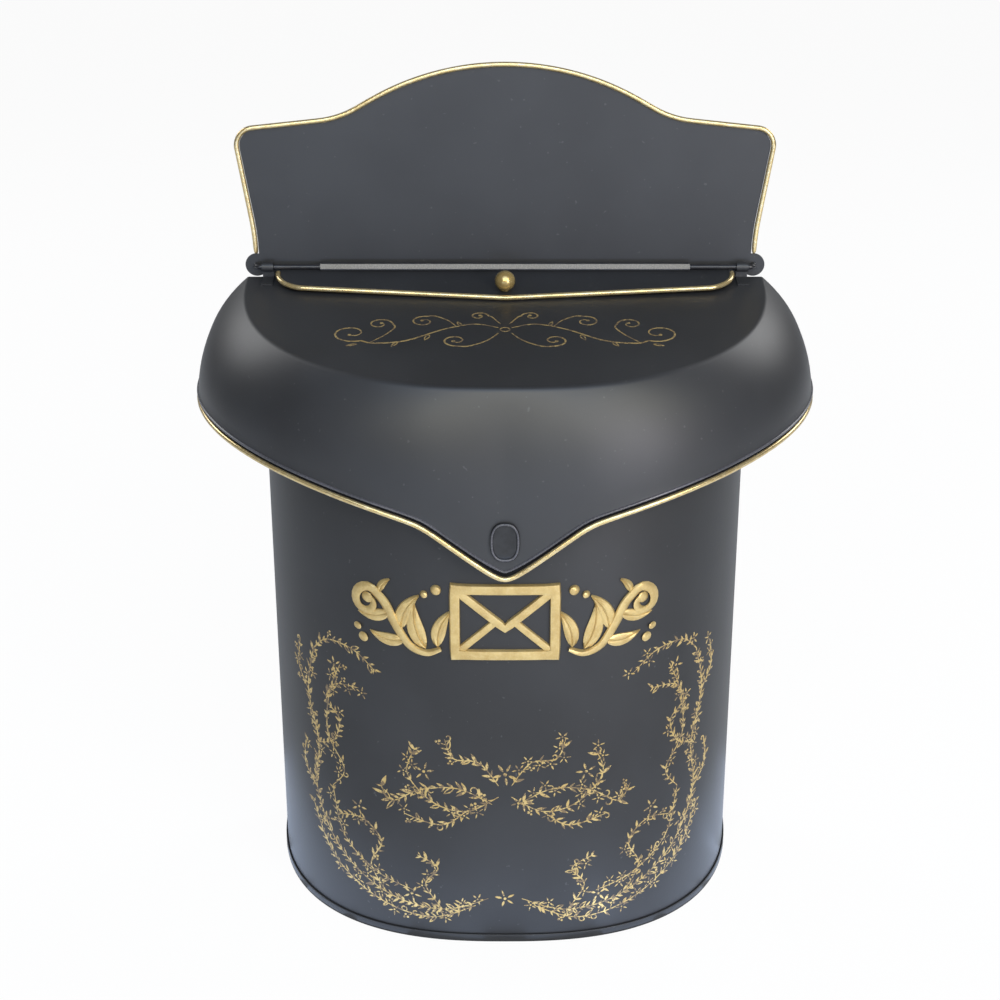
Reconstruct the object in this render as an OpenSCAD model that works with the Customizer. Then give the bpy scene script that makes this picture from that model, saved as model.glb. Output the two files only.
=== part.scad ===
// Wall mailbox of painted sheet steel: a D-shaped tub on a back plate with a shaped
// crest, a flared bonnet lid with a letter slot, and a small letter flap over the slot.
// Lid and flap turn on one hinge wire, whose ends are bent back into the back plate.
// X runs to the right, Y into the wall and Z up. Lengths are in millimetres.
// The origin is the middle of the four wall screw holes, on the rear face.

/* [Tub] */
// Width of the tub across its side walls
tub_w = 232; // [200:1:280]
// Depth of the tub from the wall to the middle of its front
tub_d = 122; // [100:1:150]
// Squareness of the tub's rounded front, where 2 is an ellipse
tub_square = 2.5; // [2.1:0.1:3.2]
// Thickness of the sheet steel
sheet = 0.8; // [0.6:0.1:1.2]
// Width of the flanges that hold the wall to the back plate
flange_w = 9; // [6:0.5:14]
// Height of the folded hem inside the top edge
hem_h = 6; // [4:0.5:10]
// Height of the seam round the bottom
seam_h = 4; // [3:0.5:6]
// Clearance between the seam and the wall inside it
seam_fit = 0.1; // [0.05:0.05:0.3]

/* [Wall screws] */
// Distance between the two columns of screw holes
screw_dx = 120; // [60:5:180]
// Distance between the two rows of screw holes
screw_dz = 180; // [100:5:200]
// Height of the lower row above the underside
screw_low_h = 55; // [30:1:70]
// Diameter of the screw holes
screw_hole_d = 5.5; // [4:0.5:8]

/* [Hinge] */
// Height of the hinge wire above the underside
hinge_h = 302.5; // [250:0.5:370]
// Distance of the hinge wire in front of the wall
hinge_out = 5; // [4.5:0.1:7]
// Diameter of the hinge wire
hinge_wire_d = 2.4; // [2:0.1:3]
// Radius of the bends at the ends of the hinge wire
hinge_bend_r = 2.4; // [2:0.1:3]
// Radius of the round ears that take the ends of the wire
ear_r = 5.5; // [4.5:0.1:7]
// Distance of the ears' centres outside the tub's side walls
ear_out = 3.5; // [2:0.1:5]
// Radial clearance of the knuckles on the wire
hinge_fit = 0.05; // [0.02:0.01:0.1]
// Wall of the rolled knuckles
knuckle_wall = 1; // [0.8:0.1:1.4]

/* [Crest] */
// Height of the crest's edge wire above the hinge wire
crest_h = 95; // [80:1:120]
// Radius of the crest's round top
crest_top_r = 128; // [110:1:150]
// Slope at which the round top ends
crest_top_turn = 30; // [24:1:34]
// Length of the straight below the round top
crest_run = 6; // [2:0.5:12]
// Radius of the hollow that leads to the shoulder
crest_hollow_r = 46; // [30:1:60]
// Fall of the shoulder outwards
crest_shoulder_fall = 6; // [3:0.5:9]
// Radius of the shoulder's corner
crest_corner_r = 8.5; // [5:0.5:12]
// Lean of the crest's side
crest_side_lean = 8.9; // [5:0.1:12]
// Radius that turns the side upright above the ear
crest_foot_r = 110; // [60:5:120]

/* [Edge wires] */
// Diameter of the round wire along the edges of crest, lid and flap
edge_wire_d = 2.4; // [1.8:0.1:3]
// Gap left between pieces that are seated on each other
seat = 0.05; // [0.02:0.01:0.1]

/* [Lid] */
// Drop from the hinge wire to the lid's top at the wall
lid_drop = 5.5; // [5:0.1:8]
// Slope of the lid's top towards the front
lid_slope = 7.2; // [4:0.1:10]
// Gap between the lid's rear edge and the wall
lid_rear = 1.5; // [1.3:0.1:2]
// Overhang of the lid's fold beyond the tub's side
fold_side = 8; // [6:0.5:12]
// Overhang of the lid's fold beyond the tub's front
fold_front = 2; // [1.5:0.5:6]
// Squareness of the fold between the top and the skirt
fold_square = 2.33; // [2.1:0.01:2.8]
// Flare of the skirt beyond the fold at the side
flare_side = 24; // [16:1:32]
// Flare of the skirt beyond the fold at the front
flare_front = 13; // [8:1:20]
// Squareness of the skirt's lower edge seen from above
rim_square = 2.28; // [2.1:0.01:2.8]
// Drop from the lid's top to the tip of the lower edge
tip_drop = 99; // [80:1:120]
// Drop from the lid's top to the lower edge at the wall
side_drop = 50.7; // [40:0.1:62]
// Rise of the lower edge for each millimetre beside the tip
flank_slope = 0.75; // [0.5:0.01:1]
// Roundness of the tip
tip_round = 4; // [2:0.5:8]
// Fall of the lower edge from the wall to the middle, without the tip
brow_drop = 34; // [24:0.5:40]
// Curvature of that fall, where 1 is straight
brow_power = 1.28; // [1:0.01:1.8]
// Softness of the bend between the tip's flanks and the brows
brow_soft = 2; // [1:0.5:6]
// Share of the flare that the skirt's curve has made at its shoulder
bulge_out = 0.96; // [0.8:0.01:1]
// Share of the drop at which that shoulder lies
bulge_down = 0.4; // [0.3:0.01:0.5]
// Gap between the lid's top and the tub's edge at the wall
rest_back = 1.6; // [1.4:0.1:3]
// Gap between the lid's top and the tub's edge at the front
rest_front = 0.3; // [0.2:0.1:0.6]

/* [Letter slot] */
// Width of the letter slot
slot_w = 160; // [120:1:170]
// Distance of the slot's rear edge from the wall
slot_back = 8; // [7:0.5:10]
// Front to back opening of the slot
slot_d = 13.5; // [10:0.5:14]
// Corner radius of the slot
slot_r = 5; // [2:0.5:6]

/* [Lid lugs] */
// Gap between a lug and the bend at the end of the hinge wire
lug_gap = 0.6; // [0.3:0.1:8]
// Width of a lug
lug_w = 5.5; // [4:0.5:6]
// Length of a lug's foot on the lid
foot_l = 10; // [6:0.5:14]

/* [Finger plate] */
// Width of the finger plate
finger_w = 14; // [10:0.5:18]
// Height of the finger plate
finger_h = 20.5; // [16:0.5:24]
// Thickness of the finger plate
finger_t = 1.6; // [1.2:0.1:2.4]
// Width of the plate's raised border
finger_rim = 1.4; // [1:0.1:2]
// Depth of the hollow inside the border
finger_hollow = 0.8; // [0.4:0.1:1]
// Height of the plate's centre above the tip of the lid
finger_up = 16.5; // [14:0.5:30]
// Gap left between the middle of the flat plate and the curved skirt
finger_seat = 0.1; // [0.05:0.01:0.2]

/* [Flap] */
// Gap between the flap's edge wire and the lugs beside it
flap_gap = 1.2; // [0.6:0.1:10]
// Length of the flap from the hinge wire to the middle of its edge wire
flap_l = 27.3; // [26:0.1:32]
// Length of the straight at the rear end of the flap's sides
flap_side = 0.6; // [0.2:0.1:6]
// Radius of the flap's middle point
flap_tip_r = 20; // [10:1:40]
// Radius of the flap's corners
flap_corner_r = 15; // [10:0.5:15]
// Length of the rolled knuckle
knuckle_l = 177; // [120:1:200]
// Gap between the flap's edge wire and the lid below it
flap_rest = 0.3; // [0.2:0.1:1]

/* [Knob] */
// Diameter of the ball knob
knob_d = 9.6; // [8:0.2:12]
// Distance of the knob from the hinge wire along the flap
knob_out = 20.5; // [19:0.5:22]
// Height of the ball's centre above the flap
knob_h = 4.85; // [4.5:0.05:6]
// Diameter of the knob's round base
knob_base_d = 6; // [5:0.2:8]
// Height of the knob's base
knob_base_h = 1; // [0.6:0.1:1.5]
// Diameter of the knob screw
screw_d = 3; // [2.5:0.5:3]
// Depth that the screw enters the knob
screw_grip = 4; // [3:0.5:5]
// Diameter of the screw's head
screw_head_d = 5.4; // [5:0.2:6]
// Height of the screw's head
screw_head_h = 1; // [0.8:0.1:1.1]
// Radial clearance round the screw
screw_fit = 0.05; // [0.02:0.01:0.1]

/* [Hidden] */

black_paint = [0.19, 0.195, 0.21];
gold_paint = [0.78, 0.67, 0.42];
bare_wire = [0.42, 0.42, 0.45];

// Number of flats round the tub and the lid, and down the lid's skirt
columns = 96;
rows = 8;
// Number of flats on a full circle where it is drawn as a mesh
$fn = 64;
// How strongly the lid's columns crowd towards its tip
crowding = 1.35;
// Largest turn between two points of a rounded outline
arc_step = 4;
// Turn between two points of the slot's corners and of the finger plate
fine_step = 7.5;
// Flats round an edge wire
wire_sides = 8;
// A length larger than the object, for cutting
big = 600;
// A cut runs this far past the surface that it opens
past = 2;
// Small turn used to find the direction of a curve
nudge = 0.2;

screw_mid_h = screw_low_h + screw_dz / 2;
tub_half = tub_w / 2;
ear_x = tub_half + ear_out;
hinge_y = -hinge_out;
wire_r = edge_wire_d / 2;
edge_gap = wire_r + seat;
hinge_bore_r = hinge_wire_d / 2 + hinge_fit;
knuckle_r = hinge_bore_r + knuckle_wall;
hinge_straight = ear_x - hinge_bend_r;
lug_in = hinge_straight - lug_gap - lug_w;
flap_half = lug_in - flap_gap - wire_r;

lid_z = hinge_h - lid_drop;
lid_back = -lid_rear;
fold_half = tub_half + fold_side;
fold_deep = tub_d + fold_front;
rim_half = fold_half + flare_side;
rim_deep = fold_deep + flare_front;
panel_up = [0, -sin(lid_slope), cos(lid_slope)];
sheet_down = sheet / cos(lid_slope);

function panel_z(y) = lid_z + y * tan(lid_slope);

tub_top_back = panel_z(-sheet) - sheet_down - rest_back;
tub_top_front = panel_z(-tub_d) - sheet_down - rest_front;
tub_slope = atan((tub_top_back - tub_top_front) / (tub_d - sheet));

// A rounded D seen from above, from its right end at the rear line round to its left end
function d_point(half, deep, square, back, a) = [
    half * sign(cos(a)) * pow(abs(cos(a)), 2 / square),
    back - (deep + back) * pow(abs(sin(a)), 2 / square)
];

function d_curve(half, deep, square, back) =
    [for (i = [0:columns]) d_point(half, deep, square, back, 180 * i / columns)];

function unit(v) = v / norm(v);

// Lower edge of the lid: the tip's two flanks under the long brow at each side
function lesser(a, b) = (a + b - sqrt(pow(a - b, 2) + pow(brow_soft, 2))) / 2;
function flank_z(x) = lid_z - tip_drop + flank_slope * (sqrt(x * x + tip_round * tip_round) - tip_round);
function brow_z(x) = lid_z - side_drop - brow_drop * pow(max(0, 1 - abs(x) / rim_half), brow_power);
function rim_wire(a) =
    let (p = d_point(rim_half, rim_deep, rim_square, lid_back, a))
    [p.x, p.y, lesser(flank_z(p.x), brow_z(p.x))];
function rim_along(a) = unit(rim_wire(min(180, a + nudge)) - rim_wire(max(0, a - nudge)));
function rim_out(a) = let (t = rim_along(a)) unit([-t.y, t.x, 0]);
function rim_up(a) = unit(cross(rim_along(a), rim_out(a)));

// The sheet ends on top of the edge wire
function rim_sheet(a) = rim_wire(a) + edge_gap * rim_up(a) + sheet / 2 * rim_out(a);

// Outer face of the skirt, from the fold at t = 0 to the lower edge at t = 1
function fold_point(a) =
    let (p = d_point(fold_half, fold_deep, fold_square, lid_back, a))
    [p.x, p.y, panel_z(p.y)];
function skirt(a, t) =
    let (
        top = fold_point(a),
        low = rim_sheet(a),
        mid = [
            top.x + bulge_out * (low.x - top.x),
            top.y + bulge_out * (low.y - top.y),
            top.z + bulge_down * (low.z - top.z)
        ]
    )
    pow(1 - t, 2) * top + 2 * t * (1 - t) * mid + t * t * low;
function skirt_out(a, t) =
    let (
        step = 0.01,
        across = skirt(min(180, a + nudge), t) - skirt(max(0, a - nudge), t),
        down = skirt(a, min(1, t + step)) - skirt(a, max(0, t - step))
    )
    unit(cross(across, down));

// Inner face of the skirt and of the fold
function skirt_inner(a, t) =
    let (
        out = skirt_out(a, t),
        shift = t > 0 ? out : (panel_up + out) / (1 + panel_up * out),
        p = skirt(a, t) - sheet * shift,
        at_rear = a == 0 || a == 180
    )
    [p.x, at_rear ? lid_back : p.y, at_rear && t == 0 ? panel_z(lid_back) - sheet_down : p.z];

function column_angle(i) =
    let (s = 1 - 2 * i / columns)
    90 - 90 * sign(s) * pow(abs(s), crowding);

// A walk of arcs and straights. A state is [x, y, heading]; a leg is [radius, turn],
// or [length, 0] where it is straight
function step_on(s, leg) =
    let (e = s[2] + leg[1], k = sign(leg[1]) * leg[0])
    leg[1] == 0
        ? [s[0] + leg[0] * cos(s[2]), s[1] + leg[0] * sin(s[2]), s[2]]
        : [s[0] + k * (sin(e) - sin(s[2])), s[1] - k * (cos(e) - cos(s[2])), e];
function walk(s, legs, i = 0) =
    i == len(legs) ? [s] : concat([s], walk(step_on(s, legs[i]), legs, i + 1));
function leg_parts(leg) = max(1, ceil(abs(leg[1]) / arc_step));

// States along a walk that starts on the middle line
function walk_states(start, legs) =
    let (stops = walk(start, legs))
    concat(
        [
            for (i = [0:len(legs) - 1])
                let (leg = legs[i], parts = leg_parts(leg))
                for (k = [0:parts - 1])
                    k == 0 ? stops[i] : step_on(stops[i], [leg[0], leg[1] * k / parts])
        ],
        [stops[len(legs)]]
    );

// The same walk with its mirror image before it, from the far left end to the far right one
function whole(states) =
    concat([for (i = [len(states) - 1:-1:1]) [-states[i][0], states[i][1], -states[i][2]]], states);

// Points beside a walk, at the given distance to its right
function beside(states, right) =
    [for (s = states) [s[0] + right * sin(s[2]), s[1] - right * cos(s[2])]];

crest_start = [0, hinge_h + crest_h, 0];
crest_foot_z = hinge_h + ear_r + seat;
crest_corner_turn = 90 + crest_side_lean - crest_shoulder_fall;
function crest_legs(shoulder, side) = [
    [crest_top_r, -crest_top_turn],
    [crest_run, 0],
    [crest_hollow_r, crest_top_turn - crest_shoulder_fall],
    [shoulder, 0],
    [crest_corner_r, -crest_corner_turn],
    [side, 0],
    [crest_foot_r, crest_side_lean]
];

// The shoulder and the side take the lengths that bring the walk to the ear
crest_bare = walk(crest_start, crest_legs(0, 0));
crest_dx = ear_x - crest_bare[7][0];
crest_dz = crest_foot_z - crest_bare[7][1];
crest_det = -cos(crest_side_lean - crest_shoulder_fall);
crest_shoulder = (crest_dz * sin(crest_side_lean) - crest_dx * cos(crest_side_lean)) / crest_det;
crest_side = (crest_dz * cos(crest_shoulder_fall) + crest_dx * sin(crest_shoulder_fall)) / crest_det;
crest_states = whole(walk_states(crest_start, crest_legs(crest_shoulder, crest_side)));

// The flap is drawn in its own frame, with the hinge wire on the X axis and its front at -Y.
// Its front slopes from the middle point so that each side ends just clear of the hinge wire
flap_top_z = -hinge_bore_r - (knuckle_wall - sheet) / 2;
flap_wire_z = flap_top_z - sheet / 2;
flap_start = [0, -flap_l, 0];
flap_run_x = flap_half - flap_corner_r;
flap_run_y = flap_l - hinge_wire_d / 2 - wire_r - flap_side - flap_tip_r;
flap_vee =
    acos((flap_corner_r - flap_tip_r) / norm([flap_run_x, flap_run_y])) - atan2(flap_run_x, flap_run_y);
flap_front = (flap_run_x - (flap_tip_r - flap_corner_r) * sin(flap_vee)) / cos(flap_vee);
flap_path = [
    [flap_tip_r, flap_vee],
    [flap_front, 0],
    [flap_corner_r, 90 - flap_vee],
    [flap_side, 0]
];
flap_states = whole(walk_states(flap_start, flap_path));

// Angle at which the flap's edge wire comes to rest on the lid's top
flap_level = lid_drop * cos(lid_slope) + hinge_out * sin(lid_slope) - wire_r - flap_rest;
flap_droop = lid_slope + asin(flap_level / norm([flap_l, flap_wire_z])) + atan(flap_wire_z / flap_l);

// Places the object so that the middle of the wall screws is the origin
module at_wall() {
    translate([0, 0, -screw_mid_h]) children();
}

module in_flap() {
    at_wall() translate([0, hinge_y, hinge_h]) rotate([flap_droop, 0, 0]) children();
}

module along_x(from, to, r) {
    translate([from, 0, 0]) rotate([0, 90, 0]) cylinder(r = r, h = to - from);
}

// Everything above a plane that falls towards the front and passes above the wall line at z
module above(z) {
    translate([0, -sheet, z])
        rotate([tub_slope, 0, 0])
            translate([-big / 2, -big / 2, 0])
                cube([big, big, big]);
}

// Round wire through a row of rings, each [centre, one axis, other axis]
module swept_wire(places, r) {
    rings = [
        for (p = places)
            for (k = [0:wire_sides - 1])
                let (turn = 360 * k / wire_sides)
                p[0] + r * (cos(turn) * p[1] + sin(turn) * p[2])
    ];
    walls = [
        for (i = [0:len(places) - 2])
            for (k = [0:wire_sides - 1])
                let (a = i * wire_sides + k, b = i * wire_sides + (k + 1) % wire_sides)
                each [[a, b, b + wire_sides], [a, b + wire_sides, a + wire_sides]]
    ];
    first_end = [for (k = [wire_sides - 1:-1:0]) k];
    last_end = [for (k = [0:wire_sides - 1]) len(rings) - wire_sides + k];
    polyhedron(points = rings, faces = concat(walls, [first_end, last_end]));
}

module walk_wire(states, r) {
    swept_wire([for (s = states) [[s[0], s[1], 0], [sin(s[2]), -cos(s[2]), 0], [0, 0, -1]]], r);
}

// Flat back with the crest, the two hinge ears and the screw holes
module back_plate() {
    low = hinge_h - ear_r;
    outline = concat(
        [[-tub_half, 0], [-tub_half, low]],
        beside(crest_states, edge_gap),
        [[tub_half, low], [tub_half, 0]]
    );
    color(black_paint)
        at_wall()
            rotate([90, 0, 0])
                difference() {
                    union() {
                        linear_extrude(sheet) polygon(outline);
                        for (side = [-1, 1])
                            translate([side * ear_x, hinge_h, 0])
                                cylinder(r = ear_r, h = sheet);
                    }
                    for (side = [-1, 1]) {
                        translate([side * ear_x, hinge_h, -past])
                            cylinder(r = hinge_wire_d / 2 + seat, h = sheet + 2 * past);
                        for (row = [0, 1])
                            translate([side * screw_dx / 2, screw_low_h + row * screw_dz, -past])
                                cylinder(d = screw_hole_d, h = sheet + 2 * past);
                    }
                }
}

module crest_edge_wire() {
    color(gold_paint)
        at_wall()
            translate([0, -wire_r, 0])
                rotate([90, 0, 0])
                    walk_wire(crest_states, wire_r);
}

// Space inside the tub, open to the rear between the flanges
module tub_cavity(wall) {
    opening = tub_half - sheet - flange_w;
    translate([0, 0, -past])
        linear_extrude(big)
            polygon(concat(
                d_curve(tub_half - wall, tub_d - wall, tub_square, -2 * sheet),
                [[-opening, -2 * sheet], [-opening, past], [opening, past], [opening, -2 * sheet]]
            ));
}

// One bent sheet, flanged inwards at the rear and hemmed along its sloping top
module tub_wall() {
    color(black_paint)
        at_wall()
            difference() {
                translate([0, 0, sheet])
                    linear_extrude(tub_top_back - sheet)
                        polygon(d_curve(tub_half, tub_d, tub_square, -sheet));
                tub_cavity(2 * sheet);
                difference() {
                    tub_cavity(sheet);
                    above(tub_top_back - hem_h);
                }
                above(tub_top_back);
            }
}

// Floor whose edge is turned up round the wall
module bottom_plate() {
    inner_half = tub_half + seam_fit;
    inner_deep = tub_d + seam_fit;
    color(black_paint)
        at_wall()
            difference() {
                linear_extrude(seam_h)
                    polygon(d_curve(inner_half + sheet, inner_deep + sheet, tub_square, -sheet));
                translate([0, 0, sheet])
                    linear_extrude(seam_h)
                        polygon(concat(
                            [[inner_half, past]],
                            d_curve(inner_half, inner_deep, tub_square, -sheet),
                            [[-inner_half, past]]
                        ));
            }
}

module hinge_wire() {
    r = hinge_wire_d / 2;
    color(bare_wire)
        at_wall()
            translate([0, hinge_y, hinge_h]) {
                along_x(-hinge_straight, hinge_straight, r);
                for (side = [0, 1])
                    mirror([side, 0, 0]) {
                        translate([hinge_straight, hinge_bend_r, 0])
                            rotate([0, 0, -90])
                                rotate_extrude(angle = 90)
                                    translate([hinge_bend_r, 0])
                                        circle(r = r);
                        translate([ear_x, hinge_bend_r, 0])
                            rotate([-90, 0, 0])
                                cylinder(r = r, h = hinge_out - hinge_bend_r - seat);
                    }
            }
}

// Sloping top and flared skirt as one pressed sheet, open below and at the wall
module lid_sheet() {
    per = rows + 1;
    outer = [for (i = [0:columns]) for (j = [0:rows]) skirt(column_angle(i), j / rows)];
    inner = [for (i = [0:columns]) for (j = [0:rows]) skirt_inner(column_angle(i), j / rows)];
    under = len(outer);
    skirt_faces = [
        for (i = [0:columns - 1])
            for (j = [0:rows - 1])
                let (a = i * per + j, b = a + per)
                each [
                    [b, a, a + 1], [b, a + 1, b + 1],
                    [under + a, under + b, under + a + 1], [under + b, under + b + 1, under + a + 1]
                ]
    ];
    rim_faces = [
        for (i = [0:columns - 1])
            let (a = i * per + rows, b = a + per)
            each [[b, a, under + a], [b, under + a, under + b]]
    ];
    last = columns * per;
    end_faces = [
        for (j = [0:rows - 1])
            each [
                [j + 1, j, under + j, under + j + 1],
                [last + j, last + j + 1, under + last + j + 1, under + last + j]
            ]
    ];
    panel_faces = [
        [for (i = [0:columns]) i * per],
        [for (i = [columns:-1:0]) under + i * per],
        [0, last, under + last, under]
    ];
    polyhedron(
        points = concat(outer, inner),
        faces = concat(skirt_faces, rim_faces, end_faces, panel_faces)
    );
}

// Rounded rectangle from its middle, as points
function rounded(w, d, r) = [
    for (q = [0:3])
        for (a = [0:fine_step:90])
            let (
                cx = (q == 0 || q == 3 ? 1 : -1) * (w / 2 - r),
                cy = (q < 2 ? 1 : -1) * (d / 2 - r)
            )
            [cx + r * cos(90 * q + a), cy + r * sin(90 * q + a)]
];

module lid() {
    color(black_paint)
        at_wall()
            difference() {
                lid_sheet();
                translate([0, -slot_back - slot_d / 2, lid_z - lid_drop - tub_d * tan(lid_slope)])
                    linear_extrude(big)
                        polygon(rounded(slot_w, slot_d, slot_r));
            }
}

// Round wire under the lid's lower edge
module lid_edge_wire() {
    color(gold_paint)
        at_wall()
            swept_wire(
                [
                    for (i = [0:columns])
                        let (a = column_angle(i), end = i == 0 || i == columns)
                        [rim_wire(a), end ? [sign(cos(a)), 0, 0] : rim_out(a), end ? [0, 0, 1] : rim_up(a)]
                ],
                wire_r
            );
}

// Strip rolled round the hinge wire, with a foot on the lid's top
module lid_lug(side) {
    web_y = hinge_y + hinge_bore_r + (knuckle_wall - sheet) / 2;
    inner_x = side > 0 ? lug_in : -lug_in - lug_w;
    color(black_paint)
        at_wall()
            difference() {
                union() {
                    translate([0, hinge_y, hinge_h])
                        along_x(inner_x, inner_x + lug_w, knuckle_r);
                    translate([inner_x, web_y, panel_z(web_y + sheet) + seat + sheet / 2])
                        cube([lug_w, sheet, lid_drop - sheet / 2]);
                    translate([inner_x, web_y + sheet, panel_z(web_y + sheet)])
                        rotate([lid_slope, 0, 0])
                            translate([0, -foot_l, seat])
                                cube([lug_w, foot_l, sheet]);
                }
                translate([0, hinge_y, hinge_h])
                    along_x(inner_x - past, inner_x + lug_w + past, hinge_bore_r);
            }
}

module lid_lug_left() {
    lid_lug(-1);
}

module lid_lug_right() {
    lid_lug(1);
}

// Oval plate pressed with a raised border, seated on the tip of the skirt
module finger_plate() {
    top_z = skirt(90, 0).z;
    fall = skirt(90, 1).z - top_z;
    want = lid_z - tip_drop + finger_up - top_z;
    qa = fall * (1 - 2 * bulge_down);
    qb = 2 * bulge_down * fall;
    t = (-qb - sqrt(qb * qb + 4 * qa * want)) / (2 * qa);
    out = skirt_out(90, t);
    color(black_paint)
        at_wall()
            translate(skirt(90, t) + finger_seat * out)
                rotate([90 - asin(out.z), 0, 0])
                    difference() {
                        linear_extrude(finger_t)
                            polygon(oval(finger_w / 2, finger_h / 2));
                        translate([0, 0, finger_t - finger_hollow])
                            linear_extrude(past)
                                polygon(oval(finger_w / 2 - finger_rim, finger_h / 2 - finger_rim));
                    }
}

function oval(rx, ry) = [for (a = [0:fine_step:360 - fine_step]) [rx * cos(a), ry * sin(a)]];

// Letter flap with its rolled knuckle
module flap() {
    rear = flap_half - edge_gap;
    outline = concat([[-rear, 0]], beside(flap_states, -edge_gap), [[rear, 0]]);
    color(black_paint)
        in_flap()
            difference() {
                union() {
                    translate([0, 0, flap_top_z - sheet])
                        linear_extrude(sheet)
                            polygon(outline);
                    along_x(-knuckle_l / 2, knuckle_l / 2, knuckle_r);
                }
                along_x(-knuckle_l / 2 - past, knuckle_l / 2 + past, hinge_bore_r);
                translate([0, -knob_out, -knuckle_r - past])
                    cylinder(r = screw_d / 2 + screw_fit, h = knuckle_r + past);
            }
}

module flap_edge_wire() {
    color(gold_paint)
        in_flap()
            translate([0, 0, flap_wire_z])
                walk_wire(flap_states, wire_r);
}

module knob() {
    base_z = flap_top_z + seat;
    color(gold_paint)
        in_flap()
            translate([0, -knob_out, base_z])
                difference() {
                    union() {
                        cylinder(d = knob_base_d, h = knob_base_h);
                        translate([0, 0, knob_h]) sphere(d = knob_d);
                    }
                    translate([0, 0, -past])
                        cylinder(r = screw_d / 2 + screw_fit, h = past + screw_grip);
                    translate([0, 0, -past - seat])
                        cylinder(d = knob_d, h = past + seat);
                }
}

module knob_screw() {
    head_top = flap_top_z - sheet - seat;
    color(bare_wire)
        in_flap()
            translate([0, -knob_out, head_top - screw_head_h]) {
                cylinder(d = screw_head_d, h = screw_head_h);
                cylinder(d = screw_d, h = screw_head_h + sheet + screw_grip - 4 * seat);
            }
}

back_plate();
crest_edge_wire();
tub_wall();
bottom_plate();
hinge_wire();
lid();
lid_edge_wire();
lid_lug_left();
lid_lug_right();
finger_plate();
flap();
flap_edge_wire();
knob();
knob_screw();
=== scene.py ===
import bisect
import functools
import math
import random

import bmesh
import bpy
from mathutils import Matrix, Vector


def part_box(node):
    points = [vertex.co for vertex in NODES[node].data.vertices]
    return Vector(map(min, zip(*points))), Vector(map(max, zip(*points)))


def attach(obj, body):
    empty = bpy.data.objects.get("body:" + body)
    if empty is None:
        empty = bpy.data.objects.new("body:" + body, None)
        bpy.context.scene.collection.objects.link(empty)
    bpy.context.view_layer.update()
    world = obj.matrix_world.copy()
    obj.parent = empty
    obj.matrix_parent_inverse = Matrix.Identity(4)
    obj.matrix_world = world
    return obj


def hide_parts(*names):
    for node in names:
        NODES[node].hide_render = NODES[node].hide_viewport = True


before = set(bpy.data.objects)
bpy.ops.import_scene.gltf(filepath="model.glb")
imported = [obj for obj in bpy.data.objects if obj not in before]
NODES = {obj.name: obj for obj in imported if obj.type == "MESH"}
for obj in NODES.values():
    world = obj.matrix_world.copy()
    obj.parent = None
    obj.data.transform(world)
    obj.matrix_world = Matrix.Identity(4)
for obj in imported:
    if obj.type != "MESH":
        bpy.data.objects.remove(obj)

bl_info = {
    "name": "Wall mailbox",
    "version": (1, 0, 0),
    "blender": (4, 5, 0),
    "location": "3D View > Sidebar > Mailbox",
    "description": "Dresses the mailbox's frame with its sheet metal, beads, relief and print",
    "category": "Object",
}

MM = 0.001

# Sizes in capitals are in millimetres, as in the part's source, unless a comment says otherwise.
# Heights are above the underside, and ORIGIN_UP brings them to the frame's origin.
ORIGIN_UP = 145.0

# Seen from above, the tub, the lid's fold and the lid's rim are rounded Ds. Each has half its
# width, how far its front stands out, and the power that squares its corners.
TUB_HALF, TUB_DEEP, TUB_SQUARE = 116.0, 122.0, 2.5
FOLD_HALF, FOLD_DEEP, FOLD_SQUARE = 124.0, 124.0, 2.33
RIM_HALF, RIM_DEEP, RIM_SQUARE = 148.0, 137.0, 2.28
SHEET = 0.8
HINGE_OUT, HINGE_UP = 5.0, 302.5
WIRE_R, SEAT = 1.2, 0.05

# The lid's flat top, then the line of its rim from the tip up its flanks and along its brow, the
# bulge of the skirt above it, and the letter slot.
LID_UP, LID_SLOPE, LID_BACK = 297.0, math.radians(7.2), -1.5
TIP_DROP, SIDE_DROP, FLANK_SLOPE, TIP_ROUND = 99.0, 50.7, 0.75, 4.0
BROW_DROP, BROW_POWER, BROW_SOFT = 34.0, 1.28, 2.0
BULGE_OUT, BULGE_DOWN = 0.96, 0.4
SLOT_WIDE, SLOT_BACK, SLOT_OPEN, SLOT_CORNER = 160.0, 8.0, 13.5, 5.0
FLAP_DROOP = math.radians(13.18)

# Directions along the lid are measured over this much turn to either side.
NUDGE = math.radians(0.2)


# Places on the object

def placed(point):
    """A point in millimetres above the underside, as a place in the frame."""
    return Vector((point[0], point[1], point[2] - ORIGIN_UP)) * MM


def d_point(half, deep, square, back, turn):
    """A point of a rounded D seen from above, by its turn from the right end round the front."""
    along, out = math.cos(turn), math.sin(turn)
    x = half * math.copysign(abs(along) ** (2 / square), along)
    return x, back - (deep + back) * abs(out) ** (2 / square)


def top_up(y):
    """Height of the lid's flat top."""
    return LID_UP + y * math.tan(LID_SLOPE)


TOP_OUT = Vector((0, -math.sin(LID_SLOPE), math.cos(LID_SLOPE)))


def rim_wire(turn):
    """Middle of the wire bead along the lid's lower edge."""
    x, y = d_point(RIM_HALF, RIM_DEEP, RIM_SQUARE, LID_BACK, turn)
    flank = LID_UP - TIP_DROP + FLANK_SLOPE * (math.hypot(x, TIP_ROUND) - TIP_ROUND)
    brow = LID_UP - SIDE_DROP - BROW_DROP * max(0, 1 - abs(x) / RIM_HALF) ** BROW_POWER
    return Vector((x, y, (flank + brow - math.hypot(flank - brow, BROW_SOFT)) / 2))


def turns_beside(turn):
    """The turns just before and after one, kept between the two ends of the lid."""
    return max(0, turn - NUDGE), min(math.pi, turn + NUDGE)


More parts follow.
